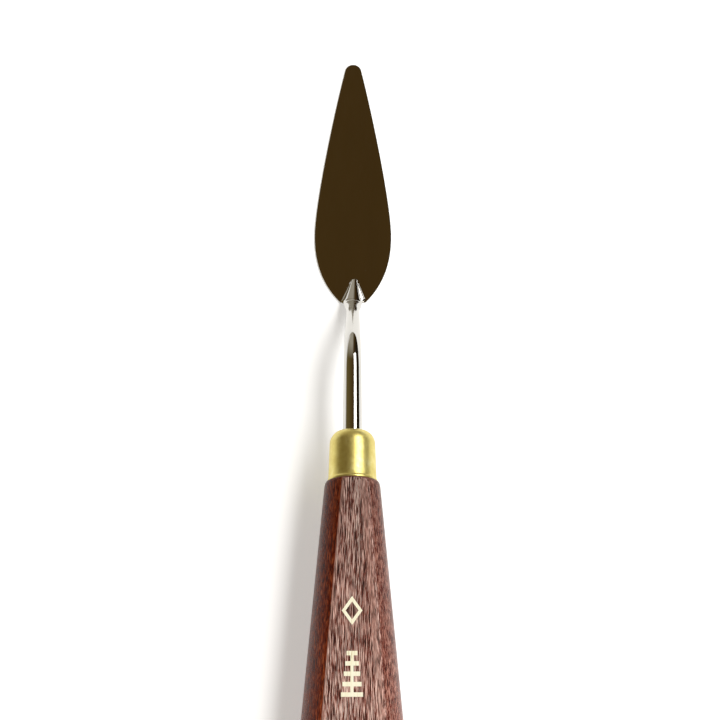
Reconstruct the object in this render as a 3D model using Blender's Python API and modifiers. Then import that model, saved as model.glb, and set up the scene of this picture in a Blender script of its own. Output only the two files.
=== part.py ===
"""Palette knife: a spring-steel blade welded to a cranked neck, a brass ferrule and a turned wooden handle.

The blade lies flat on z = 0 with its tip at +Y. The origin is under the middle of the knife's length.
"""

import math

import bmesh
import bpy
from mathutils import Vector

MM = 0.001

# Fits and curve quality
FIT_GAP = 0.05 * MM
ROUND_STEPS = 48
MERGE_DISTANCE = 0.001 * MM
SHARP_ANGLE = math.radians(35)

# Blade: flat underside, thinner towards the tip
BLADE_LENGTH = 65.8 * MM
BLADE_WIDTH = 19.0 * MM
BLADE_WIDEST = 17.8 * MM
BLADE_HEEL_WIDTH = 6.2 * MM
BLADE_HEEL_ANGLE = math.radians(44)
BLADE_FLANK_ANGLE = math.radians(13)
BLADE_TIP_RADIUS = 2.1 * MM
BLADE_HEEL_THICKNESS = 0.5 * MM
BLADE_TIP_THICKNESS = 0.35 * MM

# Blade outline: how far each curve handle reaches from the heel, the widest point and the flank
BLADE_HEEL_PULL = 8.4 * MM
BLADE_SHOULDER_PULL = 4.3 * MM
BLADE_SIDE_PULL = 8.9 * MM
BLADE_FLANK_PULL = 12.2 * MM

# Neck: one forged rod, from the tang to the spade-shaped pad welded on the blade
NECK_RADIUS = 2.28 * MM
BEND_ENTRY_RADIUS = 2.12 * MM
BEND_EXIT_RADIUS = 1.96 * MM
CRANK_RADIUS = 1.58 * MM
NOSE_RADIUS = 0.45 * MM
NOSE_HEIGHT = 0.54 * MM
CRANK_REACH = 17.2 * MM
CRANK_FOOT_SETBACK = 1.1 * MM
CRANK_FOOT_HEIGHT = 2.15 * MM
UPPER_BEND_RADIUS = 14 * MM
LOWER_BEND_RADIUS = 2.6 * MM
TANG_DEPTH = 34 * MM

# Pad, measured from the blade's heel
PAD_NOSE = 6.1 * MM
PAD_NOSE_WIDTH = 2.2 * MM
PAD_WIDTH = 5.9 * MM
PAD_CORNER = 0.5 * MM
PAD_CORNER_EASE = 0.3 * MM
PAD_TAIL = -1.3 * MM
PAD_TAIL_WIDTH = 2.4 * MM
PAD_EDGE_HEIGHT = 0.45 * MM
PAD_CHAMFER = 0.45 * MM

# Grip line: the straight neck, the ferrule and the handle share one axis, which droops towards the butt
GRIP_DROOP = math.radians(2)
FERRULE_START = 20.4 * MM
FERRULE_LENGTH = 12.2 * MM
HANDLE_START = FERRULE_START + FERRULE_LENGTH
HANDLE_LENGTH = 115 * MM

# Ferrule: a drawn brass cup
FERRULE_FRONT_RADIUS = 5.3 * MM
FERRULE_REAR_RADIUS = 5.6 * MM
FERRULE_LIP = 0.15 * MM
FERRULE_LIP_LENGTH = 0.4 * MM
FERRULE_WALL = 0.4 * MM
FERRULE_SHOULDER_LENGTH = 3.2 * MM
FERRULE_SHOULDER_DEPTH = 2.8 * MM

# Handle: turned, then planed flat above and below
HANDLE_FACE_RADIUS = 5.9 * MM
HANDLE_FACE_PULL = 0.35 * MM
HANDLE_SHOULDER_RADIUS = 6.5 * MM
HANDLE_SHOULDER_LENGTH = 1.5 * MM
HANDLE_CONE_END = 58 * MM
HANDLE_CONE_RADIUS = 11.7 * MM
HANDLE_BELLY = 78 * MM
HANDLE_BELLY_RADIUS = 12.35 * MM
BUTT_SIDE_PULL = 0.7
BUTT_END_PULL = 0.72
FLAT_FRONT_OFFSET = 6.1 * MM
FLAT_SLOPE = 0.058
FLAT_STRAIGHT_END = 58 * MM
FLAT_FALL = 1.45
TENON_LENGTH = 8.8 * MM
BORE_RADIUS = 2.7 * MM
BORE_DEPTH = 36 * MM

# Cured adhesive between the tang and the bore
ADHESIVE_FRONT = 2 * MM
ADHESIVE_DEPTH = 33 * MM

# Foil mark on the upper flat: a lozenge ring, then a bar scale
FOIL_THICKNESS = 0.06 * MM
FOIL_LIFT = 0.02 * MM
LOZENGE_STATION = 31.4 * MM
LOZENGE_LENGTH = 6.6 * MM
LOZENGE_WIDTH = 4.6 * MM
LOZENGE_RIM = 0.62
SCALE_STATION = 40.5 * MM
SCALE_SPINE_WIDTH = 0.7 * MM
SCALE_BARS = 5
SCALE_BAR_WIDTH = 1.0 * MM
SCALE_PITCH = 2.3 * MM
SCALE_LONGEST = 4.8 * MM
SCALE_SHORTEST = 2.4 * MM


# ---------------------------------------------------------------- helpers


def clear_scene():
    for obj in list(bpy.data.objects):
        bpy.data.objects.remove(obj, do_unlink=True)


def new_collection(name):
    collection = bpy.data.collections.new(name)
    bpy.context.scene.collection.children.link(collection)
    return collection


def new_material(name, colour, roughness, metallic):
    material = bpy.data.materials.new(name)
    material.use_nodes = True
    shader = material.node_tree.nodes["Principled BSDF"]
    shader.inputs["Base Color"].default_value = (*colour, 1.0)
    shader.inputs["Roughness"].default_value = roughness
    shader.inputs["Metallic"].default_value = metallic
    return material


def bezier(start, start_handle, end_handle, end, samples):
    """Points along a cubic curve, without its first point."""
    points = []
    for i in range(1, samples + 1):
        t = i / samples
        s = 1 - t
        weights = (s**3, 3 * s * s * t, 3 * s * t * t, t**3)
        corners = (start, start_handle, end_handle, end)
        points.append(tuple(sum(w * c[axis] for w, c in zip(weights, corners)) for axis in (0, 1)))
    return points


def flat_plate(name, outline, thickness, collection, parent=None, hole=None):
    """A closed plate from a 2D outline, z from 0 to thickness, as a mesh object."""
    curve = bpy.data.curves.new(name, "CURVE")
    curve.dimensions = "2D"
    curve.fill_mode = "BOTH"
    curve.extrude = thickness / 2
    for loop in filter(None, (outline, hole)):
        spline = curve.splines.new("POLY")
        spline.points.add(len(loop) - 1)
        for point, (x, y) in zip(spline.points, loop):
            point.co = (x, y, 0, 1)
        spline.use_cyclic_u = True
    guide = bpy.data.objects.new(name + "_outline", curve)
    plate = mesh_from_curve(name, guide, collection)
    for vertex in plate.data.vertices:
        vertex.co.z += thickness / 2
    plate.parent = parent
    return plate


def mesh_from_curve(name, guide, collection):
    """The guide curve's closed mesh as a new object; the guide is removed."""
    collection.objects.link(guide)
    bpy.context.view_layer.update()
    evaluated = guide.evaluated_get(bpy.context.evaluated_depsgraph_get())
    mesh = bpy.data.meshes.new_from_object(evaluated)
    mesh.name = name
    solid = bmesh.new()
    solid.from_mesh(mesh)
    bmesh.ops.remove_doubles(solid, verts=solid.verts, dist=MERGE_DISTANCE)
    bmesh.ops.recalc_face_normals(solid, faces=solid.faces)
    solid.to_mesh(mesh)
    solid.free()
    obj = bpy.data.objects.new(name, mesh)
    obj.matrix_world = guide.matrix_world.copy()
    collection.objects.link(obj)
    bpy.data.objects.remove(guide, do_unlink=True)
    return obj


def turned(name, profile, collection, parent, closed=False):
    """A solid of revolution about the grip line from (station, radius) points, front to butt."""
    mesh = bpy.data.meshes.new(name)
    count = len(profile)
    edges = [(i, i + 1) for i in range(count - 1)]
    if closed:
        edges.append((count - 1, 0))
    mesh.from_pydata([(radius, 0, -station) for station, radius in profile], edges, [])
    obj = bpy.data.objects.new(name, mesh)
    obj.parent = parent
    collection.objects.link(obj)
    screw = obj.modifiers.new("turn", "SCREW")
    screw.axis = "Z"
    screw.steps = ROUND_STEPS
    screw.render_steps = ROUND_STEPS
    screw.use_merge_vertices = True
    screw.merge_threshold = MERGE_DISTANCE
    screw.use_smooth_shade = True
    return obj


def combine(target, tool, operation):
    """A Boolean modifier that stays on the target; the tool becomes a wire guide."""
    boolean = target.modifiers.new(operation.lower(), "BOOLEAN")
    boolean.operation = operation
    boolean.object = tool
    tool.hide_render = True
    tool.display_type = "WIRE"


def finish(obj, material):
    obj.data.materials.append(material)
    obj.data.shade_smooth()
    obj.data.set_sharp_from_angle(angle=SHARP_ANGLE)


# ---------------------------------------------------------------- layout


def flat_offset(station):
    """Distance of the planed flats from the grip line: straight, then a falling parabola."""
    beyond = max(0.0, station - FLAT_STRAIGHT_END)
    return FLAT_FRONT_OFFSET + FLAT_SLOPE * station - FLAT_FALL * beyond * beyond


def grip_height():
    """Height of the upper bend that lets the handle's belly touch z = 0."""
    step = 0.25 * MM
    heights = []
    for i in range(round(HANDLE_LENGTH / step)):
        station = i * step
        droop = (HANDLE_START + station) * math.sin(GRIP_DROOP)
        heights.append(droop + flat_offset(station) * math.cos(GRIP_DROOP))
    return max(heights)


def butt_reach():
    """Horizontal distance from the upper bend to the butt."""
    return (HANDLE_START + HANDLE_LENGTH) * math.cos(GRIP_DROOP)


HEEL_Y = (BLADE_LENGTH + CRANK_REACH + butt_reach()) / 2 - BLADE_LENGTH
BEND = Vector((0, HEEL_Y - CRANK_REACH, grip_height()))


# ---------------------------------------------------------------- blade


def blade_outline():
    """Half outline from the heel to the tip, then its mirror image."""
    half_width = BLADE_WIDTH / 2
    heel = (BLADE_HEEL_WIDTH / 2, 0)
    widest = (half_width, BLADE_WIDEST)
    flank = (
        BLADE_TIP_RADIUS * math.cos(BLADE_FLANK_ANGLE),
        BLADE_LENGTH - BLADE_TIP_RADIUS * (1 - math.sin(BLADE_FLANK_ANGLE)),
    )
    heel_handle = (
        heel[0] + BLADE_HEEL_PULL * math.sin(BLADE_HEEL_ANGLE),
        BLADE_HEEL_PULL * math.cos(BLADE_HEEL_ANGLE),
    )
    flank_handle = (
        flank[0] + BLADE_FLANK_PULL * math.sin(BLADE_FLANK_ANGLE),
        flank[1] - BLADE_FLANK_PULL * math.cos(BLADE_FLANK_ANGLE),
    )
    heel_steps = 12
    flank_steps = 16
    tip_steps = 6
    half = [heel]
    half += bezier(heel, heel_handle, (half_width, BLADE_WIDEST - BLADE_SHOULDER_PULL), widest, heel_steps)
    half += bezier(widest, (half_width, BLADE_WIDEST + BLADE_SIDE_PULL), flank_handle, flank, flank_steps)
    for i in range(1, tip_steps):
        angle = BLADE_FLANK_ANGLE + (math.pi / 2 - BLADE_FLANK_ANGLE) * i / tip_steps
        half.append((
            BLADE_TIP_RADIUS * math.cos(angle),
            BLADE_LENGTH - BLADE_TIP_RADIUS * (1 - math.sin(angle)),
        ))
    tip = (0, BLADE_LENGTH)
    return half + [tip] + [(-x, y) for x, y in reversed(half)]


def make_blade(collection, material):
    blade = flat_plate("blade", blade_outline(), BLADE_HEEL_THICKNESS, collection)
    for vertex in blade.data.vertices:
        if vertex.co.z > BLADE_HEEL_THICKNESS / 2:
            along = vertex.co.y / BLADE_LENGTH
            vertex.co.z = BLADE_HEEL_THICKNESS + along * (BLADE_TIP_THICKNESS - BLADE_HEEL_THICKNESS)
    blade.location = (0, HEEL_Y, 0)
    finish(blade, material)


# ---------------------------------------------------------------- neck


def bend_points(corner, before, after, bend_radius):
    """The two curve points, with handles, that round a corner of the neck's centre line."""
    inward = (before - corner).normalized()
    outward = (after - corner).normalized()
    turn = math.pi - inward.angle(outward)
    setback = bend_radius * math.tan(turn / 2)
    pull = 4 / 3 * math.tan(turn / 4) * bend_radius
    first = corner + inward * setback
    last = corner + outward * setback
    return [
        (first, first + inward * pull, first - inward * pull),
        (last, last - outward * pull, last + outward * pull),
    ]


def straight_point(point, toward):
    """An end point of the neck's centre line, whose handles lie along the line."""
    third = (toward - point) / 3
    return (point, point - third, point + third)


def make_neck(collection, cutters, material):
    along_grip = Vector((0, -math.cos(GRIP_DROOP), -math.sin(GRIP_DROOP)))
    tang_end = BEND + along_grip * (HANDLE_START + TANG_DEPTH)
    ferrule_front = BEND + along_grip * FERRULE_START
    pad_base = BLADE_HEEL_THICKNESS + FIT_GAP
    foot = Vector((0, HEEL_Y - CRANK_FOOT_SETBACK, CRANK_FOOT_HEIGHT))
    nose = Vector((0, HEEL_Y + PAD_NOSE - NOSE_RADIUS, pad_base + NOSE_HEIGHT))

    curve = bpy.data.curves.new("neck", "CURVE")
    curve.dimensions = "3D"
    curve.bevel_depth = NECK_RADIUS
    curve.bevel_resolution = 8
    curve.use_fill_caps = True
    spline = curve.splines.new("BEZIER")
    spline.resolution_u = 8
    points = [straight_point(tang_end, ferrule_front), straight_point(ferrule_front, BEND)]
    points += bend_points(BEND, tang_end, foot, UPPER_BEND_RADIUS)
    points += bend_points(foot, BEND, nose, LOWER_BEND_RADIUS)
    points.append(straight_point(nose, nose * 2 - foot))
    radii = (
        NECK_RADIUS,
        NECK_RADIUS,
        BEND_ENTRY_RADIUS,
        BEND_EXIT_RADIUS,
        CRANK_RADIUS,
        CRANK_RADIUS,
        NOSE_RADIUS,
    )
    spline.bezier_points.add(len(points) - 1)
    for bezier_point, (place, left, right), radius in zip(spline.bezier_points, points, radii):
        bezier_point.co = place
        bezier_point.handle_left = left
        bezier_point.handle_right = right
        bezier_point.radius = radius / NECK_RADIUS
    neck = mesh_from_curve("neck", bpy.data.objects.new("neck_line", curve), collection)

    pad = make_pad(cutters, pad_base)
    combine(neck, pad, "UNION")
    combine(neck, make_weld_plane(cutters, pad_base), "DIFFERENCE")
    finish(neck, material)


def pad_outline():
    """The spade seen from above, from its tail round the corner to its nose, and its mirror image."""
    nose_centre = PAD_NOSE - PAD_NOSE_WIDTH / 2
    half = [
        (PAD_TAIL_WIDTH / 2, PAD_TAIL),
        (PAD_WIDTH / 2 - PAD_CORNER_EASE, 0),
        (PAD_WIDTH / 2, PAD_CORNER),
    ]
    nose_steps = 4
    for i in range(nose_steps):
        angle = BLADE_FLANK_ANGLE + (math.pi / 2 - BLADE_FLANK_ANGLE) * i / nose_steps
        half.append((
            PAD_NOSE_WIDTH / 2 * math.cos(angle),
            nose_centre + PAD_NOSE_WIDTH / 2 * math.sin(angle),
        ))
    return half + [(0, PAD_NOSE)] + [(-x, y) for x, y in reversed(half)]


def make_pad(cutters, height):
    """The pad's plate with its upper edges chamfered by an inset that rises."""
    pad = flat_plate("pad", pad_outline(), PAD_EDGE_HEIGHT, cutters)
    solid = bmesh.new()
    solid.from_mesh(pad.data)
    upper = [face for face in solid.faces if face.normal.z > 0.5]
    bmesh.ops.inset_region(
        solid,
        faces=upper,
        thickness=PAD_CHAMFER,
        depth=PAD_CHAMFER,
        use_even_offset=True,
    )
    solid.to_mesh(pad.data)
    solid.free()
    pad.location = (0, HEEL_Y, height)
    return pad


def make_weld_plane(cutters, height):
    """A block under the pad that trims the rod's end flush with the pad's underside."""
    size = 20 * MM
    mesh = bpy.data.meshes.new("weld_plane")
    block = bmesh.new()
    bmesh.ops.create_cube(block, size=size)
    block.to_mesh(mesh)
    block.free()
    plane = bpy.data.objects.new("weld_plane", mesh)
    plane.location = (0, HEEL_Y, height - size / 2)
    cutters.objects.link(plane)
    return plane


# ---------------------------------------------------------------- ferrule


def ferrule_radius(station):
    """Outer radius of the cup's slightly tapered wall, station measured from the ferrule's front."""
    along = (station - FERRULE_SHOULDER_LENGTH) / (FERRULE_LENGTH - FERRULE_SHOULDER_LENGTH)
    return FERRULE_FRONT_RADIUS + along * (FERRULE_REAR_RADIUS - FERRULE_FRONT_RADIUS)


def shoulder_arc(depth, length, inset, samples):
    """Quarter ellipse from the cup's front face to its wall, as (station, radius) points."""
    points = []
    for i in range(samples + 1):
        angle = math.pi / 2 * i / samples
        radius = FERRULE_FRONT_RADIUS - inset - depth * (1 - math.sin(angle))
        station = FERRULE_START + inset + length * (1 - math.cos(angle))
        points.append((station, radius))
    return points


def make_ferrule(collection, grip, material):
    hole = NECK_RADIUS + FIT_GAP
    rear = FERRULE_START + FERRULE_LENGTH - FIT_GAP
    lip_foot = 2 * FERRULE_LIP_LENGTH
    lip_radius = FERRULE_REAR_RADIUS + FERRULE_LIP
    outer_steps = 8
    inner_steps = 6
    outer = [(FERRULE_START, hole)]
    outer += shoulder_arc(FERRULE_SHOULDER_DEPTH, FERRULE_SHOULDER_LENGTH, 0, outer_steps)
    outer += [
        (rear - lip_foot, ferrule_radius(FERRULE_LENGTH - lip_foot)),
        (rear - FERRULE_LIP_LENGTH, lip_radius),
        (rear - FERRULE_LIP_LENGTH / 4, lip_radius),
        (rear, FERRULE_REAR_RADIUS),
    ]
    inner = [(FERRULE_START + FERRULE_WALL, hole)]
    inner += shoulder_arc(
        FERRULE_SHOULDER_DEPTH - FERRULE_WALL,
        FERRULE_SHOULDER_LENGTH - FERRULE_WALL,
        FERRULE_WALL,
        inner_steps,
    )
    inner.append((rear, FERRULE_REAR_RADIUS - FERRULE_WALL))
    ferrule = turned("ferrule", outer + inner[::-1], collection, grip, closed=True)
    finish(ferrule, material)


# ---------------------------------------------------------------- handle


def handle_profile():
    """Up the blind bore, over the tenon, then down the outer side from the shoulder to the butt."""
    tenon_front = HANDLE_START - TENON_LENGTH
    tenon_inset = FERRULE_WALL + FIT_GAP
    cone_slope = (HANDLE_CONE_RADIUS - HANDLE_SHOULDER_RADIUS) / (HANDLE_CONE_END - HANDLE_SHOULDER_LENGTH)
    face = (HANDLE_START, HANDLE_FACE_RADIUS)
    edge = (HANDLE_START + HANDLE_SHOULDER_LENGTH, HANDLE_SHOULDER_RADIUS)
    cone_end = (HANDLE_START + HANDLE_CONE_END, HANDLE_CONE_RADIUS)
    belly = (HANDLE_START + HANDLE_BELLY, HANDLE_BELLY_RADIUS)
    butt = (HANDLE_START + HANDLE_LENGTH, 0)
    profile = [
        (HANDLE_START + BORE_DEPTH, 0),
        (HANDLE_START + BORE_DEPTH, BORE_RADIUS),
        (tenon_front, BORE_RADIUS),
        (tenon_front, ferrule_radius(FERRULE_LENGTH - TENON_LENGTH) - tenon_inset),
        (HANDLE_START, FERRULE_REAR_RADIUS - tenon_inset),
        face,
    ]
    half_shoulder = HANDLE_SHOULDER_LENGTH / 2
    edge_handle = (edge[0] - half_shoulder, edge[1] - half_shoulder * cone_slope)
    edge_steps = 4
    belly_steps = 6
    butt_steps = 14
    profile += bezier(face, (face[0], face[1] + HANDLE_FACE_PULL), edge_handle, edge, edge_steps)
    bulge = (HANDLE_BELLY - HANDLE_CONE_END) / 3
    cone_handle = (cone_end[0] + bulge, cone_end[1] + bulge * cone_slope)
    profile.append(cone_end)
    profile += bezier(cone_end, cone_handle, (belly[0] - bulge, belly[1]), belly, belly_steps)
    butt_length = HANDLE_LENGTH - HANDLE_BELLY
    profile += bezier(
        belly,
        (belly[0] + butt_length * BUTT_SIDE_PULL, belly[1]),
        (butt[0], HANDLE_BELLY_RADIUS * BUTT_END_PULL),
        butt,
        butt_steps,
    )
    return profile


def make_handle(collection, cutters, grip, material):
    handle = turned("handle", handle_profile(), collection, grip)
    slab = make_flat_slab(cutters, grip)
    combine(handle, slab, "INTERSECT")
    finish(handle, material)


def make_flat_slab(cutters, grip):
    """The side view between the two planed flats, extruded across the handle."""
    margin = 2 * MM
    before_tenon = -TENON_LENGTH - margin
    past_butt = HANDLE_LENGTH + margin
    width = 4 * HANDLE_BELLY_RADIUS
    upper = [(before_tenon, FLAT_FRONT_OFFSET), (0, FLAT_FRONT_OFFSET)]
    samples = 16
    for i in range(samples + 1):
        station = FLAT_STRAIGHT_END + (past_butt - FLAT_STRAIGHT_END) * i / samples
        upper.append((station, flat_offset(station)))
    outline = upper + [(station, -offset) for station, offset in reversed(upper)]
    slab = flat_plate("flat_slab", outline, width, cutters, grip)
    for vertex in slab.data.vertices:
        station, offset, across = vertex.co
        vertex.co = (width / 2 - across, -offset, -(HANDLE_START + station))
    return slab


# ---------------------------------------------------------------- hidden adhesive and foil mark


def make_adhesive(collection, grip, material):
    inner = NECK_RADIUS + FIT_GAP
    outer = BORE_RADIUS - FIT_GAP
    front = HANDLE_START + ADHESIVE_FRONT
    rear = HANDLE_START + ADHESIVE_DEPTH
    profile = [(front, outer), (rear, outer), (rear, inner), (front, inner)]
    adhesive = turned("tang_adhesive", profile, collection, grip, closed=True)
    finish(adhesive, material)


def lay_on_upper_flat(plate, station):
    """Places a plate, drawn with +Y towards the blade, on the planed flat above the grip line."""
    slope = math.atan(FLAT_SLOPE)
    lift = FOIL_LIFT / math.cos(slope)
    plate.location = (0, -(flat_offset(station) + lift), -(HANDLE_START + station))
    plate.rotation_euler = (math.pi / 2 - slope, 0, 0)


def make_lozenge(collection, grip, material):
    half_length = LOZENGE_LENGTH / 2
    half_width = LOZENGE_WIDTH / 2
    outline = [(half_width, 0), (0, half_length), (-half_width, 0), (0, -half_length)]
    hole = [(x * LOZENGE_RIM, y * LOZENGE_RIM) for x, y in outline]
    lozenge = flat_plate("foil_lozenge", outline, FOIL_THICKNESS, collection, grip, hole)
    lay_on_upper_flat(lozenge, LOZENGE_STATION)
    finish(lozenge, material)


def make_bar_scale(collection, grip, material):
    """A spine with cross bars that grow towards the butt, as one outline."""
    right = []
    for i in range(SCALE_BARS):
        half_bar = (SCALE_SHORTEST + (SCALE_LONGEST - SCALE_SHORTEST) * i / (SCALE_BARS - 1)) / 2
        front = -i * SCALE_PITCH
        rear = front - SCALE_BAR_WIDTH
        right += [(half_bar, front), (half_bar, rear)]
        if i < SCALE_BARS - 1:
            next_front = front - SCALE_PITCH
            right += [(SCALE_SPINE_WIDTH / 2, rear), (SCALE_SPINE_WIDTH / 2, next_front)]
    outline = right + [(-x, y) for x, y in reversed(right)]
    scale = flat_plate("foil_bar_scale", outline, FOIL_THICKNESS, collection, grip)
    lay_on_upper_flat(scale, SCALE_STATION)
    finish(scale, material)


# ---------------------------------------------------------------- assembly


def main():
    clear_scene()
    parts = new_collection("palette_knife")
    cutters = new_collection("cutters")
    grip = bpy.data.objects.new("grip_line", None)
    grip.location = BEND
    grip.rotation_euler = (GRIP_DROOP - math.pi / 2, 0, 0)
    parts.objects.link(grip)
    bpy.context.view_layer.update()

    steel = new_material("polished_steel", (0.58, 0.56, 0.52), 0.08, 1.0)
    forged = new_material("forged_steel", (0.62, 0.61, 0.59), 0.15, 1.0)
    brass = new_material("satin_brass", (0.62, 0.50, 0.16), 0.32, 1.0)
    wood = new_material("stained_wood", (0.16, 0.05, 0.035), 0.5, 0.0)
    resin = new_material("cured_resin", (0.55, 0.45, 0.28), 0.4, 0.0)
    foil = new_material("cream_foil", (0.95, 0.90, 0.62), 0.4, 0.0)

    make_blade(parts, steel)
    make_neck(parts, cutters, forged)
    make_ferrule(parts, grip, brass)
    make_handle(parts, cutters, grip, wood)
    make_adhesive(parts, grip, resin)
    make_lozenge(parts, grip, foil)
    make_bar_scale(parts, grip, foil)


main()
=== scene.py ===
"""The looks of the palette knife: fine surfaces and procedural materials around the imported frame.

Lengths are metres in the frame's axes: +Y towards the blade's tip, +Z up, the knife resting on z = 0.
"""

import math

import bpy
import numpy as np
from mathutils import Matrix, Vector


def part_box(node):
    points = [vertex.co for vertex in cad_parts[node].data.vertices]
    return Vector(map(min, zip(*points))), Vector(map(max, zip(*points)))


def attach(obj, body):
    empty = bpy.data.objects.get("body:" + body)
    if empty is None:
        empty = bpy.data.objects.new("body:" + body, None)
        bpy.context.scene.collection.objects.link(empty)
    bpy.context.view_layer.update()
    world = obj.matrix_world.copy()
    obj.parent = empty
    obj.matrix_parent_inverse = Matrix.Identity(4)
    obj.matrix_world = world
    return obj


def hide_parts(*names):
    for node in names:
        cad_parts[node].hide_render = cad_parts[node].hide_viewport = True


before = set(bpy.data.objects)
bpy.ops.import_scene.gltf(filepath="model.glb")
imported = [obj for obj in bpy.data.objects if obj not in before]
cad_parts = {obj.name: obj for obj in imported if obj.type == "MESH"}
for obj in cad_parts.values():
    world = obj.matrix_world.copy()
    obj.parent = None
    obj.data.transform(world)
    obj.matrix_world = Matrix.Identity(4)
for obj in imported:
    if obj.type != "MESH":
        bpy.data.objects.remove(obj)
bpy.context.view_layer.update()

MM = 0.001

# ---------------------------------------------------------------- sizes, as in the CAD but with finer edges

HEEL_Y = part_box("blade")[0].y
TIP_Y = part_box("blade")[1].y
BLADE_LENGTH = TIP_Y - HEEL_Y
BLADE_HALF_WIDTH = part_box("blade")[1].x
BLADE_WIDEST = 17.8 * MM
BLADE_HEEL_HALF = 3.1 * MM
BLADE_HEEL_ANGLE = math.radians(44)
BLADE_FLANK_ANGLE = math.radians(13)
BLADE_TIP_RADIUS = 2.1 * MM
BLADE_HEEL_THICKNESS = 0.5 * MM
BLADE_TIP_THICKNESS = 0.35 * MM
BLADE_EDGE_WIDTH = 0.13 * MM

# How far each Bezier handle reaches along the blade's outline.
BLADE_HEEL_PULL = 8.4 * MM
BLADE_SHOULDER_PULL = 4.3 * MM
BLADE_SIDE_PULL = 8.9 * MM
BLADE_FLANK_PULL = 12.2 * MM

NECK_RADIUS = 2.28 * MM
BEND_ENTRY_RADIUS = 2.12 * MM
BEND_EXIT_RADIUS = 1.96 * MM
CRANK_RADIUS = 1.58 * MM
NOSE_RADIUS = 0.45 * MM
NOSE_HEIGHT = 0.54 * MM
CRANK_REACH = 17.2 * MM
CRANK_FOOT_SETBACK = 1.1 * MM
CRANK_FOOT_HEIGHT = 2.15 * MM
UPPER_BEND_RADIUS = 14 * MM
LOWER_BEND_RADIUS = 2.6 * MM
TANG_DEPTH = 34 * MM

# The pad welded on the blade, measured forward from the blade's heel.
PAD_NOSE = 6.1 * MM
PAD_TAIL = -1.3 * MM
PAD_NOSE_RADIUS = 1.1 * MM
PAD_WIDTH = 5.9 * MM
PAD_CORNER = 0.5 * MM
PAD_CORNER_EASE = 0.3 * MM
PAD_TAIL_WIDTH = 2.4 * MM
PAD_RIM_HEIGHT = 0.2 * MM
PAD_CHAMFER = 0.3 * MM
PAD_CHAMFER_SLOPE = 0.88
PAD_DOME_WIDTH = 1 * MM
PAD_DOME_HEIGHT = 0.23 * MM
PAD_SPINE_SETBACK = 0.3 * MM
PAD_SPINE_SHARE = 0.98

# Hand forging leaves the pad a little askew: its nose drifts and its rim turns, in metres per metre.
PAD_DRIFT = 0.06
PAD_SKEW = 0.1

# The rod widens into a rib over the pad, by a share of its radius.
RIB_SPREAD = 0.45
RIB_SPREAD_START = 4.5 * MM
RIB_SPREAD_LENGTH = 4 * MM

GRIP_DROOP = math.radians(2)
FERRULE_START = 20.4 * MM
FERRULE_LENGTH = 12.2 * MM
HANDLE_START = FERRULE_START + FERRULE_LENGTH
HANDLE_LENGTH = 115 * MM
FERRULE_FRONT_RADIUS = 5.3 * MM
FERRULE_REAR_RADIUS = 5.6 * MM
FERRULE_LIP = 0.15 * MM
FERRULE_LIP_LENGTH = 0.4 * MM
FERRULE_BEAD_LENGTH = 1.6 * FERRULE_LIP_LENGTH
FERRULE_BEAD_FULLNESS = 0.8
FERRULE_GROOVE_DEPTH = 0.06 * MM
FERRULE_GROOVE_SETBACK = 2.2 * FERRULE_LIP_LENGTH
FERRULE_WALL = 0.4 * MM
FERRULE_SHOULDER_LENGTH = 3.2 * MM
FERRULE_SHOULDER_DEPTH = 2.8 * MM
FERRULE_HOLE_CHAMFER = 0.12 * MM
FIT_GAP = 0.05 * MM
PAD_BASE = BLADE_HEEL_THICKNESS + FIT_GAP

HANDLE_FACE_RADIUS = 5.9 * MM
HANDLE_FACE_PULL = 0.35 * MM
HANDLE_SHOULDER_RADIUS = 6.5 * MM
HANDLE_SHOULDER_LENGTH = 1.5 * MM
HANDLE_CONE_END = 58 * MM
HANDLE_CONE_RADIUS = 11.7 * MM
HANDLE_BELLY = 78 * MM
HANDLE_BELLY_RADIUS = 12.35 * MM
BUTT_SIDE_PULL = 0.7
BUTT_END_PULL = 0.72
FLAT_FRONT_OFFSET = 6.1 * MM
FLAT_SLOPE = 0.058
FLAT_STRAIGHT_END = 58 * MM
FLAT_FALL = 1.45
TENON_LENGTH = 8.8 * MM
BORE_RADIUS = 2.7 * MM
BORE_DEPTH = 36 * MM

# Power that blends the round with the flats: high leaves a crisp corner, low a sanded one.
CORNER_SHARPNESS = 45
CORNER_WEAR = 29

# How far the wood's grain wanders sideways.
GRAIN_SWAY = 0.6 * MM


def flat_offset(station):
    """Distance of the planed flats from the grip line, by distance behind the ferrule."""
    beyond = np.maximum(0.0, station - FLAT_STRAIGHT_END)
    return FLAT_FRONT_OFFSET + FLAT_SLOPE * station - FLAT_FALL * beyond * beyond


def grip_height():
    """Height of the upper bend that lets the handle's belly touch the floor."""
    stations = np.arange(0, HANDLE_LENGTH, MM / 4)
    drop = (HANDLE_START + stations) * math.sin(GRIP_DROOP)
    return float((drop + flat_offset(stations) * math.cos(GRIP_DROOP)).max())


BEND = Vector((0, HEEL_Y - CRANK_REACH, grip_height()))
GRIP = Matrix.Translation(BEND) @ Matrix.Rotation(GRIP_DROOP, 4, "X")


# ---------------------------------------------------------------- mesh helpers


def bezier(start, start_handle, end_handle, end, samples):
    """Points along a cubic curve, without its first point."""
    t = np.linspace(0, 1, samples + 1)[1:, None]
    s = 1 - t
    corners = [np.asarray(c, float) for c in (start, start_handle, end_handle, end)]
    return s**3 * corners[0] + 3 * s * s * t * corners[1] + 3 * s * t * t * corners[2] + t**3 * corners[3]


def mesh_object(name, vertices, faces, sharp_angle):
    """A smooth-shaded mesh whose edges over sharp_angle degrees stay sharp."""
    mesh = bpy.data.meshes.new(name)
    mesh.from_pydata([tuple(v) for v in vertices], [], faces)
    mesh.validate()
    mesh.shade_smooth()
    mesh.set_sharp_from_angle(angle=math.radians(sharp_angle))
    obj = bpy.data.objects.new(name, mesh)
    bpy.context.scene.collection.objects.link(obj)
    return obj


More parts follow.
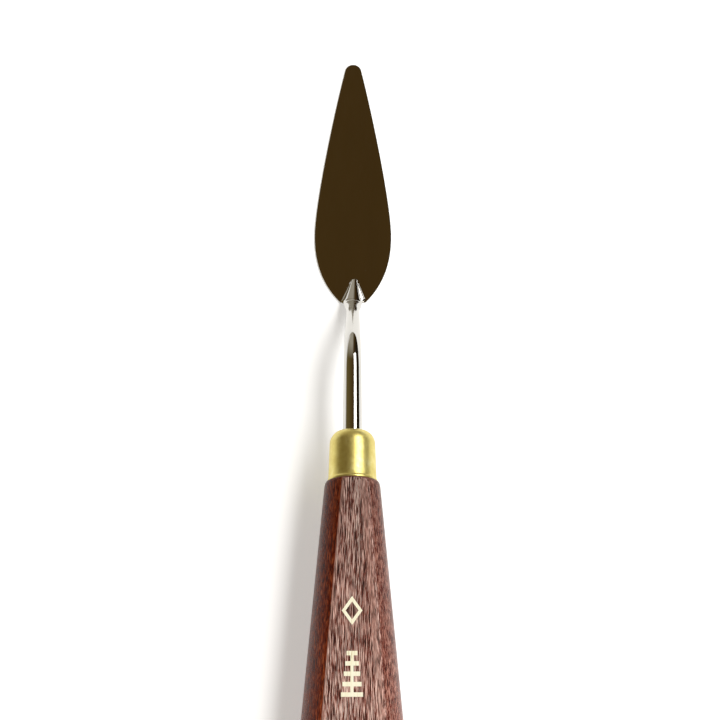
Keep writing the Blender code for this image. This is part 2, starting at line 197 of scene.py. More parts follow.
def ring_faces(rings, around, loop=False):
    """Quads between successive rings, facing out when each ring turns left about the ring order."""
    faces = []
    last = rings if loop else rings - 1
    for i in range(last):
        here = i * around
        there = (i + 1) % rings * around
        for j in range(around):
            k = (j + 1) % around
            faces.append((here + j, here + k, there + k, there + j))
    return faces


def ring_solid(name, rings, sharp_angle, loop=False):
    """A closed mesh from rings of points, shape (rings, around, 3): a loop, or a tube with fan caps."""
    count, around, _ = rings.shape
    vertices = rings.reshape(-1, 3).tolist()
    faces = ring_faces(count, around, loop)
    ends = () if loop else ((0, True), (count - 1, False))
    for ring, reverse in ends:
        vertices.append(rings[ring].mean(0).tolist())
        centre = len(vertices) - 1
        for j in range(around):
            here = ring * around + j
            there = ring * around + (j + 1) % around
            faces.append((there, here, centre) if reverse else (here, there, centre))
    return mesh_object(name, vertices, faces, sharp_angle)


def turned_rings(profile, around):
    """Rings about the grip line from (station, radius) points; station runs along -Y."""
    angles = np.linspace(0, 2 * math.pi, around, endpoint=False)
    stations, radii = np.asarray(profile, float).T
    x = radii[:, None] * np.sin(angles)
    z = radii[:, None] * np.cos(angles)
    y = np.repeat(-stations[:, None], around, axis=1)
    return np.stack([x, y, z], axis=-1)


def set_on_grip(obj):
    """Moves a mesh drawn about the Y axis onto the drooping grip line."""
    obj.data.transform(GRIP)


def show(piece, node, material):
    """The piece stands for the CAD node, rides on the knife and takes the slot's finish."""
    piece.data.materials.append(material)
    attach(piece, "root")
    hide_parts(node)


# ---------------------------------------------------------------- blade


def blade_half_outline():
    """Right-hand edge from the heel to the tip, relative to the heel."""
    heel = np.array([BLADE_HEEL_HALF, 0])
    widest = np.array([BLADE_HALF_WIDTH, BLADE_WIDEST])
    flank = np.array([
        BLADE_TIP_RADIUS * math.cos(BLADE_FLANK_ANGLE),
        BLADE_LENGTH - BLADE_TIP_RADIUS * (1 - math.sin(BLADE_FLANK_ANGLE)),
    ])
    from_heel = np.array([math.sin(BLADE_HEEL_ANGLE), math.cos(BLADE_HEEL_ANGLE)])
    from_tip = np.array([math.sin(BLADE_FLANK_ANGLE), -math.cos(BLADE_FLANK_ANGLE)])
    heel_handle = heel + BLADE_HEEL_PULL * from_heel
    flank_handle = flank + BLADE_FLANK_PULL * from_tip
    side = [heel[None]]
    side.append(bezier(heel, heel_handle, widest - (0, BLADE_SHOULDER_PULL), widest, 60))
    side.append(bezier(widest, widest + (0, BLADE_SIDE_PULL), flank_handle, flank, 80))
    angles = np.linspace(BLADE_FLANK_ANGLE, math.pi / 2, 33)[1:]
    tip = BLADE_TIP_RADIUS * np.stack([np.cos(angles), np.sin(angles)], axis=1)
    side.append(tip + (0, BLADE_LENGTH - BLADE_TIP_RADIUS))
    return np.concatenate(side)


def make_blade(material):
    """Concentric loops up the ground edge, then strips straight across the polished face."""
    half = blade_half_outline()
    left = half[:-1][::-1] * (-1, 1)
    outline = np.concatenate([half, left])
    tangent = np.roll(outline, -1, axis=0) - np.roll(outline, 1, axis=0)
    outward = np.stack([tangent[:, 1], -tangent[:, 0]], axis=1)
    outward /= np.linalg.norm(outward, axis=1)[:, None]
    along = np.clip(outline[:, 1] / BLADE_LENGTH, 0, 1)
    thickness = BLADE_HEEL_THICKNESS + along * (BLADE_TIP_THICKNESS - BLADE_HEEL_THICKNESS)
    # How far in and how high each loop lies, as shares of the edge's width and of the thickness.
    rounding = ((1.0, 0.0), (0.25, 0.08), (0.0, 0.3), (0.0, 0.62), (0.3, 0.88), (1.0, 1.0))
    loops = []
    for inset, share in rounding:
        loop = outline - outward * inset * BLADE_EDGE_WIDTH
        loops.append(np.column_stack([loop[:, 0], loop[:, 1] + HEEL_Y, thickness * share]))
    rings = np.array(loops)
    count, around, _ = rings.shape
    vertices = rings.reshape(-1, 3).tolist()
    faces = ring_faces(count, around)
    top = (count - 1) * around
    pairs = len(half) - 1
    for start, flip in ((0, True), (top, False)):
        for j in range(pairs):
            right_near, right_far = start + j, start + j + 1
            left_near, left_far = start + around - 1 - j, start + around - 2 - j
            face = [right_near, right_far, left_far, left_near]
            if right_far == left_far:
                face = [right_near, right_far, left_near]
            faces.append(tuple(reversed(face)) if flip else tuple(face))
    blade = mesh_object("polished_blade", vertices, faces, sharp_angle=15)
    show(blade, "blade", material)


# ---------------------------------------------------------------- neck


def rounded_corner(corner, before, after, bend_radius):
    """Start, first handle, last handle and end of the curve that rounds a corner."""
    inward = (before - corner) / np.linalg.norm(before - corner)
    outward = (after - corner) / np.linalg.norm(after - corner)
    turn = math.pi - math.acos(float(inward @ outward))
    setback = bend_radius * math.tan(turn / 2)
    pull = 4 / 3 * math.tan(turn / 4) * bend_radius
    first = corner + inward * setback
    last = corner + outward * setback
    return first, first - inward * pull, last - outward * pull, last


def neck_line():
    """The rod's centre line from the tang to the nose, as points and radii."""
    bend = np.array(BEND)
    down_grip = np.array([0, -math.cos(GRIP_DROOP), -math.sin(GRIP_DROOP)])
    tang = bend + down_grip * (HANDLE_START + TANG_DEPTH)
    ferrule_front = bend + down_grip * FERRULE_START
    foot = np.array([0, HEEL_Y - CRANK_FOOT_SETBACK, CRANK_FOOT_HEIGHT])
    nose = np.array([0, HEEL_Y + PAD_NOSE - NOSE_RADIUS, PAD_BASE + NOSE_HEIGHT])
    upper = rounded_corner(bend, tang, foot, UPPER_BEND_RADIUS)
    lower = rounded_corner(foot, bend, nose, LOWER_BEND_RADIUS)
    spans = (
        ((tang, ferrule_front), 20, NECK_RADIUS, NECK_RADIUS),
        ((ferrule_front, upper[0]), 40, NECK_RADIUS, BEND_ENTRY_RADIUS),
        (upper, 60, BEND_ENTRY_RADIUS, BEND_EXIT_RADIUS),
        ((upper[3], lower[0]), 50, BEND_EXIT_RADIUS, CRANK_RADIUS),
        (lower, 40, CRANK_RADIUS, CRANK_RADIUS),
        ((lower[3], nose), 60, CRANK_RADIUS, NOSE_RADIUS),
    )
    points = [tang[None]]
    radii = [np.array([NECK_RADIUS])]
    for corners, samples, first_radius, last_radius in spans:
        if len(corners) == 2:
            start, end = corners
            corners = (start, start + (end - start) / 3, end - (end - start) / 3, end)
        points.append(bezier(*corners, samples))
        radii.append(np.linspace(first_radius, last_radius, samples + 1)[1:])
    return np.concatenate(points), np.concatenate(radii)


def pad_outline():
    """Right half of the pad's plan from tail to nose, as (x, y from the heel)."""
    nose_centre = PAD_NOSE - PAD_NOSE_RADIUS
    corners = np.array([
        (0, PAD_TAIL),
        (PAD_TAIL_WIDTH / 2, PAD_TAIL),
        (PAD_WIDTH / 2 - PAD_CORNER_EASE, 0),
        (PAD_WIDTH / 2, PAD_CORNER),
        (PAD_NOSE_RADIUS, nose_centre),
    ])
    points = [corners[:1]]
    for a, b in zip(corners[:-1], corners[1:]):
        points.append(np.linspace(a, b, 13)[1:])
    turn = np.linspace(0, math.pi / 2, 17)[1:]
    points.append(np.stack([np.cos(turn), np.sin(turn)], axis=-1) * PAD_NOSE_RADIUS + (0, nose_centre))
    return np.concatenate(points)


def pad_rise(inset):
    """Height of the pad's face over its rim, by distance in from the outline: chamfer, then low dome."""
    dome = np.clip((inset - PAD_CHAMFER) / PAD_DOME_WIDTH, 0, 1)
    return np.minimum(inset, PAD_CHAMFER) * PAD_CHAMFER_SLOPE + PAD_DOME_HEIGHT * (1 - (1 - dome) ** 2)


def lean_pad(points):
    """The pad sits a little askew on the blade, as hand forging leaves it."""
    from_heel = points[..., 1] - HEEL_Y
    ahead_of_tail = from_heel > PAD_TAIL
    points[..., 1] += ahead_of_tail * PAD_SKEW * points[..., 0]
    points[..., 0] += PAD_DRIFT * np.maximum(0, from_heel)


def make_pad(material):
    """Loops from the rim in to the spine, so that every edge line follows the outline."""
    half = pad_outline()
    outline = np.concatenate([half, half[-2:0:-1] * (-1, 1)])
    spine = outline.copy()
    spine[:, 0] = 0
    spine[:, 1] = np.clip(outline[:, 1], PAD_TAIL + PAD_SPINE_SETBACK, PAD_NOSE - PAD_NOSE_RADIUS)
    width = np.linalg.norm(outline - spine, axis=1)
    insets = list(np.linspace(0, PAD_CHAMFER, 5)) + list(np.linspace(PAD_CHAMFER, PAD_WIDTH / 2, 24)[1:])
    rings = [np.column_stack([outline, np.full(len(outline), PAD_BASE)])]
    for inset in insets:
        share = np.minimum(inset / width, PAD_SPINE_SHARE)
        plan = outline + (spine - outline) * share[:, None]
        rings.append(np.column_stack([plan, PAD_BASE + PAD_RIM_HEIGHT + pad_rise(share * width)]))
    rings = np.array(rings)
    rings[..., 1] += HEEL_Y
    lean_pad(rings)
    pad = ring_solid("forged_pad", rings, sharp_angle=35)
    show(pad, "neck", material)


def make_neck(material):
    """Rings square to the rod's line, spreading into a low rib with a flat underside over the pad."""
    points, radii = neck_line()
    around = 160
    angles = np.linspace(0, 2 * math.pi, around, endpoint=False)
    tangent = np.gradient(points, axis=0)
    tangent /= np.linalg.norm(tangent, axis=1)[:, None]
    across = np.array([1.0, 0, 0])
    up = np.cross(across, tangent)
    up *= np.sign(up[:, 2])[:, None]
    near_pad = np.clip((points[:, 1] - HEEL_Y + RIB_SPREAD_START) / RIB_SPREAD_LENGTH, 0, 1)
    near_pad = near_pad * near_pad * (3 - 2 * near_pad)
    half_width = radii * (1 + RIB_SPREAD * near_pad)
    sideways = half_width[:, None, None] * np.sin(angles)[None, :, None] * across
    upwards = radii[:, None, None] * np.cos(angles)[None, :, None] * up[:, None, :]
    rings = points[:, None, :] + sideways + upwards
    rings[..., 2] = np.maximum(rings[..., 2], PAD_BASE)
    rings[..., 0] += PAD_DRIFT * np.maximum(0, rings[..., 1] - HEEL_Y)
    facing_out = rings[:, ::-1]
    neck = ring_solid("forged_neck", facing_out, sharp_angle=60)
    show(neck, "neck", material)


# ---------------------------------------------------------------- ferrule


def ferrule_radius(station):
    """Outer radius of the tapered wall, by distance from the ferrule's front."""
    along = (station - FERRULE_SHOULDER_LENGTH) / (FERRULE_LENGTH - FERRULE_SHOULDER_LENGTH)
    return FERRULE_FRONT_RADIUS + along * (FERRULE_REAR_RADIUS - FERRULE_FRONT_RADIUS)


def shoulder_arc(depth, length, inset, samples):
    """Quarter ellipse from the cup's front face to its wall, as (station, radius) points."""
    angles = np.linspace(0, math.pi / 2, samples + 1)
    radius = FERRULE_FRONT_RADIUS - inset - depth * (1 - np.sin(angles))
    station = FERRULE_START + inset + length * (1 - np.cos(angles))
    return list(zip(station, radius))


def make_ferrule(material):
    """A thin cup: chamfered hole, domed shoulder, tapered wall, a shallow groove and a rolled bead."""
    hole = NECK_RADIUS + FIT_GAP
    rear = FERRULE_START + FERRULE_LENGTH - FIT_GAP
    wall_end = FERRULE_LENGTH - FERRULE_GROOVE_SETBACK
    groove = FERRULE_REAR_RADIUS - FERRULE_GROOVE_DEPTH
    bead_height = FERRULE_LIP + FERRULE_GROOVE_DEPTH
    profile = [(FERRULE_START + FERRULE_HOLE_CHAMFER, hole), (FERRULE_START, hole + FERRULE_HOLE_CHAMFER)]
    profile += shoulder_arc(FERRULE_SHOULDER_DEPTH, FERRULE_SHOULDER_LENGTH, 0, 28)
    for station in np.linspace(FERRULE_SHOULDER_LENGTH, wall_end, 14)[1:]:
        profile.append((FERRULE_START + station, ferrule_radius(station)))
    for turn in np.linspace(0, math.pi, 9)[1:]:
        profile.append((
            rear - FERRULE_BEAD_LENGTH * (1 + math.cos(turn)) / 2,
            groove + bead_height * math.sin(turn) ** FERRULE_BEAD_FULLNESS,
        ))
    profile.append((rear, FERRULE_REAR_RADIUS - FERRULE_WALL))
    inner = shoulder_arc(
        FERRULE_SHOULDER_DEPTH - FERRULE_WALL,
        FERRULE_SHOULDER_LENGTH - FERRULE_WALL,
        FERRULE_WALL,
        10,
    )
    profile += inner[::-1]
    profile.append((FERRULE_START + FERRULE_WALL, hole))
    rings = turned_rings(profile, 160)
    ferrule = ring_solid("brass_ferrule", rings, loop=True, sharp_angle=50)
    set_on_grip(ferrule)
    show(ferrule, "ferrule", material)


# ---------------------------------------------------------------- handle


def handle_profile():
    """Up the blind bore, over the tenon, then down the outer side to the butt, as (station, radius)."""
    tenon_front = HANDLE_START - TENON_LENGTH
    tenon_inset = FERRULE_WALL + FIT_GAP
    cone_slope = (HANDLE_CONE_RADIUS - HANDLE_SHOULDER_RADIUS) / (HANDLE_CONE_END - HANDLE_SHOULDER_LENGTH)
    face = np.array([HANDLE_START, HANDLE_FACE_RADIUS])
    edge = np.array([HANDLE_START + HANDLE_SHOULDER_LENGTH, HANDLE_SHOULDER_RADIUS])
    cone_end = np.array([HANDLE_START + HANDLE_CONE_END, HANDLE_CONE_RADIUS])
    belly = np.array([HANDLE_START + HANDLE_BELLY, HANDLE_BELLY_RADIUS])
    butt = np.array([HANDLE_START + HANDLE_LENGTH, 0])
    back = np.array([HANDLE_SHOULDER_LENGTH / 2, cone_slope * HANDLE_SHOULDER_LENGTH / 2])
    bulge = (HANDLE_BELLY - HANDLE_CONE_END) / 3
    butt_side = ((HANDLE_LENGTH - HANDLE_BELLY) * BUTT_SIDE_PULL, 0)
    butt_end = (0, HANDLE_BELLY_RADIUS * BUTT_END_PULL)
    tenon_radius = ferrule_radius(FERRULE_LENGTH - TENON_LENGTH) - tenon_inset
    inner = [
        (HANDLE_START + BORE_DEPTH, BORE_RADIUS),
        (tenon_front, BORE_RADIUS),
        (tenon_front, tenon_radius),
        (HANDLE_START, FERRULE_REAR_RADIUS - tenon_inset),
        (HANDLE_START, HANDLE_FACE_RADIUS),
    ]
    cone = np.linspace(edge, cone_end, 121)[1:]
    outer = np.concatenate([
        bezier(face, face + (0, HANDLE_FACE_PULL), edge - back, edge, 12),
        cone,
        bezier(cone_end, cone_end + (bulge, bulge * cone_slope), belly - (bulge, 0), belly, 36),
        bezier(belly, belly + butt_side, butt + butt_end, butt, 90),
    ])
    return np.concatenate([inner, outer[:-1]])


def make_handle(material):
    """Each ring is a circle between the two flats, its corners eased by sanding, more so on the right."""
    profile = handle_profile()
    around = 320
    rings = turned_rings(profile, around)
    stations, radii = profile.T
    angles = np.linspace(0, 2 * math.pi, around, endpoint=False)
    offset = flat_offset(np.maximum(0, stations - HANDLE_START))
    flat_reach = offset[:, None] / np.maximum(1e-6, np.abs(np.cos(angles)))
    sharpness = CORNER_SHARPNESS - CORNER_WEAR * np.sin(angles)
    ratio = radii[:, None] / flat_reach
    eased = (1 + ratio**sharpness) ** (-1 / sharpness)
    rings[..., 0] *= eased
    rings[..., 2] *= eased
    handle = ring_solid("turned_handle", rings, sharp_angle=50)
    set_on_grip(handle)
    show(handle, "handle", material)


# ---------------------------------------------------------------- node helpers


def new_material(name):
    """A material, its node tree and its Principled shader."""
    material = bpy.data.materials.new(name)
    material.use_nodes = True
    return material, material.node_tree, material.node_tree.nodes["Principled BSDF"]


def add_node(tree, kind, settings=None, **sockets):
    """A node with its settings and inputs; an input is a value or another node's output."""
    node = tree.nodes.new(kind)
    for key, value in (settings or {}).items():
        setattr(node, key, value)
    for key, value in sockets.items():
        socket = node.inputs[int(key[1:])] if key[0] == "i" and key[1:].isdigit() else node.inputs[key]
        if isinstance(value, bpy.types.NodeSocket):
            tree.links.new(value, socket)
        else:
            socket.default_value = value
    return node


def math_node(tree, operation, a, b=0.0):
    return add_node(tree, "ShaderNodeMath", {"operation": operation}, i0=a, i1=b).outputs[0]


def ramp(tree, factor, *stops):
    """A colour ramp; each stop is (position, grey) or (position, (r, g, b))."""
    node = add_node(tree, "ShaderNodeValToRGB", i0=factor)
    elements = node.color_ramp.elements
    while len(elements) < len(stops):
        elements.new(0.5)
    for element, (position, colour) in zip(elements, stops):
        element.position = position
        rgb = (colour,) * 3 if isinstance(colour, (int, float)) else colour
        element.color = (*rgb, 1)
    return node.outputs[0]


def mix_colour(tree, factor, a, b, blend="MIX"):
    node = add_node(tree, "ShaderNodeMix", {"data_type": "RGBA", "blend_type": blend}, i0=factor, i6=a, i7=b)
    return node.outputs[2]


def stretched(tree, scale, location=(0, 0, 0)):
    """The piece's own coordinates, scaled by turns per metre along each axis."""
    coordinates = add_node(tree, "ShaderNodeTexCoord").outputs["Object"]
    mapping = add_node(tree, "ShaderNodeMapping", i0=coordinates)
    mapping.inputs["Scale"].default_value = scale
    mapping.inputs["Location"].default_value = location
    return mapping.outputs[0]


def wavy(tree, scale, sway, location=(0, 0, 0)):
    """Stretched coordinates whose X wanders by a fraction of a millimetre with a slow noise."""
    centred = math_node(tree, "SUBTRACT", sway, 0.5)
    shift = math_node(tree, "MULTIPLY", centred, GRAIN_SWAY * scale[0])
    offset = add_node(tree, "ShaderNodeCombineXYZ", i0=shift).outputs[0]
    vector = stretched(tree, scale, location)
    swayed = add_node(tree, "ShaderNodeVectorMath", {"operation": "ADD"}, i0=vector, i1=offset)
    return swayed.outputs[0]


def noise(tree, vector, detail=2.0, roughness=0.5):
    node = add_node(tree, "ShaderNodeTexNoise", i0=vector, Scale=1.0, Detail=detail, Roughness=roughness)
    return node.outputs[0]


def bump(tree, height, distance):
    return add_node(tree, "ShaderNodeBump", Height=height, Distance=distance).outputs[0]


# ---------------------------------------------------------------- materials


def polished_steel(name, colour, roughness):
    """Mirror steel with faint polishing lines and slightly uneven colour."""
    material, tree, shader = new_material(name)
    shader.inputs["Metallic"].default_value = 1.0
    dimmer = tuple(c * 0.93 for c in colour)
    smear = noise(tree, stretched(tree, (160, 45, 160)), 3)
    tree.links.new(ramp(tree, smear, (0.3, dimmer), (0.7, colour)), shader.inputs["Base Color"])
    lines = noise(tree, stretched(tree, (9000, 260, 9000)), 2)
    rough = ramp(tree, lines, (0.35, roughness * 0.8), (0.75, roughness * 1.5))
    tree.links.new(rough, shader.inputs["Roughness"])
    tree.links.new(bump(tree, lines, 0.0006 * MM), shader.inputs["Normal"])
    return material


def satin_brass():
    """Drawn brass: turning lines round the cup and a fine speckle."""
    material, tree, shader = new_material("satin_brass")
    shader.inputs["Metallic"].default_value = 1.0
    cloud = noise(tree, stretched(tree, (420, 420, 420)), 4, 0.6)
    tint = ramp(
        tree,
        cloud,
        (0.32, (0.68, 0.56, 0.17)),
        (0.55, (0.76, 0.65, 0.22)),
        (0.75, (0.84, 0.75, 0.33)),
    )
    tree.links.new(tint, shader.inputs["Base Color"])
    speckle = noise(tree, stretched(tree, (2600, 2600, 2600)), 3, 0.6)
    tree.links.new(ramp(tree, speckle, (0.3, 0.32), (0.7, 0.5)), shader.inputs["Roughness"])
    lines = noise(tree, stretched(tree, (300, 7000, 300)), 2)
    texture = math_node(tree, "ADD", math_node(tree, "MULTIPLY", lines, 0.5), speckle)
    tree.links.new(bump(tree, texture, 0.006 * MM), shader.inputs["Normal"])
    return material


def wood_grain(tree):
    """Fine fibres with longer threads among them, and a mask of the open pores; all three sway together."""
    sway = noise(tree, stretched(tree, (90, 45, 90)), 1)
    fibres = noise(tree, wavy(tree, (7800, 170, 7800), sway), 2, 0.6)
    threads = noise(tree, wavy(tree, (11000, 90, 11000), sway, (3, 8, 1)), 2, 0.6)
    pores = noise(tree, wavy(tree, (7000, 200, 7000), sway, (7, 3, 5)), 1, 0.5)
    fibre_part = math_node(tree, "MULTIPLY", fibres, 0.7)
    thread_part = math_node(tree, "MULTIPLY", threads, 0.3)
    weave = math_node(tree, "ADD", fibre_part, thread_part)
    return weave, ramp(tree, pores, (0.57, 0.0), (0.63, 1.0))


def wood_flats_and_painted_light(tree):
    """Masks by which way the wood faces: the planed flats, stretched onto right-leaning corners as painted
    sheen; the pale colour, also painted on the lit right side; painted highlights along the flats' eased
    edges.
    """
    normal = add_node(tree, "ShaderNodeNewGeometry").outputs["Normal"]
    facing = add_node(tree, "ShaderNodeSeparateXYZ", i0=normal)
    rightward = facing.outputs["X"]
    leftward = math_node(tree, "MULTIPLY", rightward, -1.0)
    upright = math_node(tree, "ABSOLUTE", facing.outputs["Z"])
    # Painted sheen: the pale flat colour reaches onto corners that lean right, towards the window panes.
    painted_sheen_reach = math_node(tree, "MULTIPLY", math_node(tree, "MAXIMUM", rightward, 0.0), 0.3)
    flat = ramp(tree, math_node(tree, "ADD", upright, painted_sheen_reach), (0.955, 0.0), (0.99, 1.0))
    # Painted light: the right side, which faces the window panes, is drawn partly in the pale flat colour.
    painted_lit_side = ramp(tree, rightward, (0.4, 0.0), (0.6, 0.3))
    pale = math_node(tree, "MAXIMUM", flat, painted_lit_side)
    # Painted highlights: thin pale bands along the eased corners beside the flats, on both sides.
    right_edge_highlight = ramp(tree, rightward, (0.06, 0.0), (0.2, 0.5), (0.42, 0.5), (0.58, 0.0))
    left_edge_highlight = ramp(tree, leftward, (0.06, 0.0), (0.14, 0.5), (0.26, 0.5), (0.34, 0.0))
    edges = math_node(tree, "ADD", right_edge_highlight, left_edge_highlight)
    beside_flat = ramp(tree, upright, (0.72, 0.0), (0.82, 1.0))
    return flat, pale, math_node(tree, "MULTIPLY", edges, beside_flat)


def handle_share(tree):
    """How far behind the ferrule a point lies, as a share of the handle's length."""
    place = add_node(tree, "ShaderNodeTexCoord").outputs["Object"]
    along = add_node(tree, "ShaderNodeSeparateXYZ", i0=place).outputs["Y"]
    behind = math_node(tree, "SUBTRACT", HEEL_Y - CRANK_REACH - HANDLE_START, along)
    return math_node(tree, "DIVIDE", behind, HANDLE_LENGTH)


def stained_wood():
    """Open-grained hardwood under a dark red-brown stain; the planed flats show pale, raised fibres with
    painted sheen and glints, and painted light brightens the right side, the flats' edges and the rear.
    """
    material, tree, shader = new_material("stained_wood")
    weave, pores = wood_grain(tree)
    flat, pale, painted_edge_highlight = wood_flats_and_painted_light(tree)
    # The flats' pale colour: partly raised fibres, partly painted sheen; the palest stop is painted glints.
    planed = ramp(
        tree,
        weave,
        (0.428, (0.02, 0.004, 0.003)),
        (0.467, (0.17, 0.042, 0.028)),
        (0.511, (0.35, 0.132, 0.096)),
        (0.556, (1.0, 0.74, 0.65)),
    )
    sanded = ramp(
        tree,
        weave,
        (0.41, (0.05, 0.003, 0.0005)),
        (0.505, (0.14, 0.012, 0.0015)),
        (0.58, (0.4, 0.1, 0.035)),
    )
    bands = noise(tree, stretched(tree, (420, 10, 420), (1, 4, 2)), 3, 0.55)
    shade = ramp(tree, bands, (0.34, (0.9, 0.76, 0.73)), (0.58, 1.0))
    # Painted light: the handle is drawn darker towards the ferrule and lighter towards the butt, where more
    # light falls.
    painted_front_shade = ramp(tree, handle_share(tree), (0.0, 0.62), (0.45, 1.0))
    # Pale flat colour on the flats, also laid on the right side and right-leaning corners as painted light.
    colour = mix_colour(tree, pale, sanded, planed)
    # Painted highlight: the flats' eased edges are drawn in a pale pinkish colour where the window panes
    # would shine on them.
    colour = mix_colour(tree, painted_edge_highlight, colour, (0.56, 0.35, 0.29, 1))
    colour = mix_colour(tree, 1.0, colour, shade, "MULTIPLY")
    colour = mix_colour(tree, 1.0, colour, painted_front_shade, "MULTIPLY")
    colour = mix_colour(tree, math_node(tree, "MULTIPLY", pores, 0.8), colour, (0.025, 0.007, 0.004, 1))
    tree.links.new(colour, shader.inputs["Base Color"])

    rough_flat = ramp(tree, weave, (0.4, 0.7), (0.6, 0.5))
    rough_side = ramp(tree, weave, (0.4, 0.32), (0.6, 0.18))
    tree.links.new(mix_colour(tree, flat, rough_side, rough_flat), shader.inputs["Roughness"])
    height = math_node(tree, "SUBTRACT", weave, math_node(tree, "MULTIPLY", pores, 0.25))
    relief = math_node(tree, "MULTIPLY", height, ramp(tree, flat, (0.0, 0.2), (1.0, 1.0)))
    tree.links.new(bump(tree, relief, 0.22 * MM), shader.inputs["Normal"])
    shader.inputs["Specular IOR Level"].default_value = 0.12
    return material


def cured_resin():
    """Amber adhesive, slightly cloudy."""
    material, tree, shader = new_material("cured_resin")
    cloud = noise(tree, stretched(tree, (600, 600, 600)), 3)
    tint = ramp(tree, cloud, (0.3, (0.42, 0.3, 0.13)), (0.7, (0.6, 0.48, 0.27)))
    tree.links.new(tint, shader.inputs["Base Color"])
    shader.inputs["Roughness"].default_value = 0.3
    return material


def cream_foil():
    """Pigment foil pressed on the grain, thinner where the fibres lie lower."""
    material, tree, shader = new_material("cream_foil")
    fibres = noise(tree, stretched(tree, (3400, 150, 3400)), 4, 0.65)
    tint = ramp(
        tree,
        fibres,
        (0.3, (0.6, 0.48, 0.28)),
        (0.4, (0.95, 0.9, 0.66)),
        (0.6, (1.0, 0.98, 0.78)),
    )
    tree.links.new(tint, shader.inputs["Base Color"])
    tree.links.new(ramp(tree, fibres, (0.3, 0.55), (0.7, 0.38)), shader.inputs["Roughness"])
    tree.links.new(bump(tree, fibres, 0.02 * MM), shader.inputs["Normal"])
    return material


# ---------------------------------------------------------------- studio

FLOOR_SIZE = 8
WINDOW_DISTANCE = 0.9
WINDOW_WIDTH = 1.3
WINDOW_SHIFT = 0.12
PANE_ANGLE = math.radians(13)

CAMERA_TILT = math.radians(20.4)
CAMERA_DISTANCE = 0.485
CAMERA_LENS = 100
CAMERA_SENSOR = 36
AIM_RIGHT = 1.75 * MM
AIM_BEHIND_TIP = 80.65 * MM


def make_floor():
    """A matt white table, lifted by a little light of its own so that it stays white past the shadows."""
    bpy.ops.mesh.primitive_plane_add(size=FLOOR_SIZE)
    floor = bpy.context.object
    floor.name = "floor"
    material, _, shader = new_material("white_table")
    shader.inputs["Base Color"].default_value = (0.86, 0.86, 0.86, 1)
    shader.inputs["Roughness"].default_value = 0.9
    shader.inputs["Specular IOR Level"].default_value = 0.1
    shader.inputs["Emission Color"].default_value = (0.97, 0.985, 1, 1)
    shader.inputs["Emission Strength"].default_value = 0.4
    floor.data.materials.append(material)


def make_window_pane(name, elevation, energy):
    """One wide soft pane to the knife's right; PANE_ANGLE is its height as the knife sees it."""
    light = bpy.data.lights.new(name, "AREA")
    light.shape = "RECTANGLE"
    light.size = WINDOW_WIDTH
    light.size_y = 2 * WINDOW_DISTANCE * math.tan(PANE_ANGLE / 2)
    light.energy = energy
    light.color = (1, 0.995, 0.98)
    away = Vector((math.cos(elevation), 0, math.sin(elevation)))
    pane = bpy.data.objects.new(name, light)
    pane.location = away * WINDOW_DISTANCE + Vector((0, WINDOW_SHIFT, 0))
    pane.rotation_euler = (-away).to_track_quat("-Z", "Y").to_euler()
    pane.visible_camera = False
    bpy.context.scene.collection.objects.link(pane)


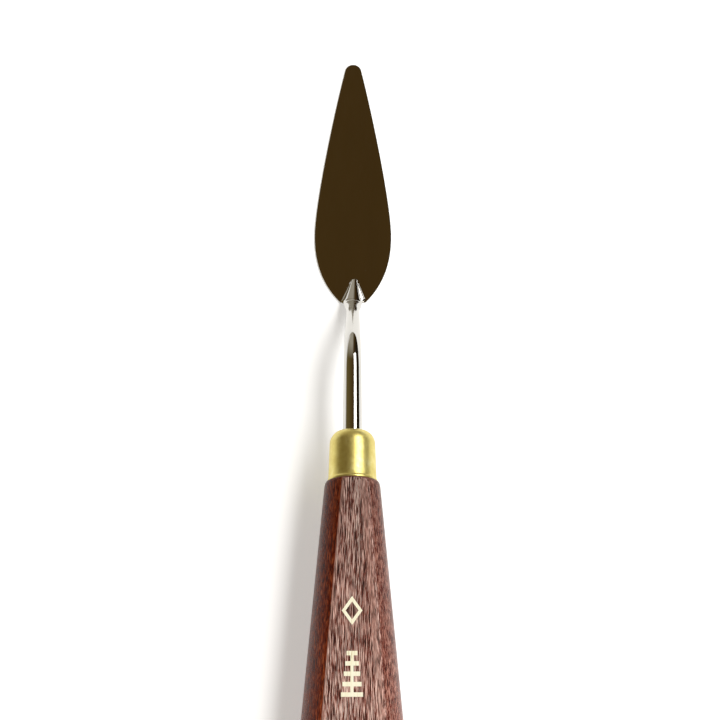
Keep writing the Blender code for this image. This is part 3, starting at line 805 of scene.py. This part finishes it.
def room_colour(tree):
    """A dim brown room, lighter ahead, behind and low at the left, and dark under the window."""
    direction = add_node(tree, "ShaderNodeTexCoord").outputs["Generated"]
    axes = add_node(tree, "ShaderNodeSeparateXYZ", i0=direction)
    rightward = axes.outputs["X"]
    forward = axes.outputs["Y"]
    upward = axes.outputs["Z"]
    leftward = math_node(tree, "MULTIPLY", rightward, -1.0)
    backward = math_node(tree, "MULTIPLY", forward, -1.0)

    left_wall = ramp(tree, leftward, (0.0, 0.0), (0.85, 1.0))
    far_ahead = ramp(tree, forward, (0.5, 0.0), (0.88, 1.0))
    off_window = ramp(tree, rightward, (0.0, 1.0), (0.22, 0.0))
    ahead = math_node(tree, "MULTIPLY", far_ahead, off_window)
    behind = ramp(tree, backward, (0.2, 0.0), (0.8, 1.0))
    far_left = ramp(tree, leftward, (0.25, 0.0), (0.5, 1.0))
    low = ramp(tree, upward, (0.08, 1.0), (0.16, 0.0))
    low_left = math_node(tree, "MULTIPLY", far_left, low)
    far_right = ramp(tree, rightward, (0.25, 0.0), (0.5, 1.0))
    not_behind = ramp(tree, backward, (0.2, 1.0), (0.6, 0.0))
    under_window = math_node(tree, "MULTIPLY", far_right, not_behind)

    colour = mix_colour(tree, left_wall, (0.078, 0.043, 0.011, 1), (0.15, 0.11, 0.036, 1))
    colour = mix_colour(tree, ahead, colour, (0.46, 0.42, 0.34, 1))
    colour = mix_colour(tree, behind, colour, (0.55, 0.51, 0.45, 1))
    colour = mix_colour(tree, low_left, colour, (0.9, 0.88, 0.84, 1))
    return mix_colour(tree, under_window, colour, (0.02, 0.013, 0.006, 1))


def make_world():
    """The room lights the knife and is mirrored in it; the camera sees a plain pale backdrop."""
    world = bpy.data.worlds.new("studio")
    bpy.context.scene.world = world
    world.use_nodes = True
    tree = world.node_tree
    room = tree.nodes["Background"]
    tree.links.new(room_colour(tree), room.inputs["Color"])
    backdrop = add_node(tree, "ShaderNodeBackground", i0=(0.92, 0.92, 0.91, 1))
    seen = add_node(tree, "ShaderNodeLightPath").outputs["Is Camera Ray"]
    mixed = add_node(tree, "ShaderNodeMixShader", i0=seen, i1=room.outputs[0], i2=backdrop.outputs[0])
    tree.links.new(mixed.outputs[0], tree.nodes["World Output"].inputs["Surface"])


def make_camera():
    """A long lens on the handle's side, 20 degrees off the vertical."""
    target = Vector((AIM_RIGHT, TIP_Y - AIM_BEHIND_TIP, 0))
    back = Vector((0, -math.sin(CAMERA_TILT), math.cos(CAMERA_TILT)))
    camera_data = bpy.data.cameras.new("camera")
    camera_data.lens = CAMERA_LENS
    camera_data.sensor_width = CAMERA_SENSOR
    camera = bpy.data.objects.new("camera", camera_data)
    camera.location = target + back * CAMERA_DISTANCE
    camera.rotation_euler = (CAMERA_TILT, 0, 0)
    bpy.context.scene.collection.objects.link(camera)
    bpy.context.scene.camera = camera


# ---------------------------------------------------------------- build

make_camera()
make_floor()
make_window_pane("window_top", math.radians(62), 7.4)
make_window_pane("window_bottom", math.radians(49), 2.8)
make_world()
bpy.context.scene.view_settings.view_transform = "Standard"

make_blade(polished_steel("mirror_steel", (0.58, 0.56, 0.52), 0.07))
bright_steel = polished_steel("bright_steel", (0.66, 0.65, 0.62), 0.06)
make_neck(bright_steel)
make_pad(bright_steel)
make_ferrule(satin_brass())
make_handle(stained_wood())

foil = cream_foil()
for node_name, node_material in (
    ("tang_adhesive", cured_resin()),
    ("foil_lozenge", foil),
    ("foil_bar_scale", foil),
):
    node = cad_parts[node_name]
    node.data.materials.clear()
    node.data.materials.append(node_material)
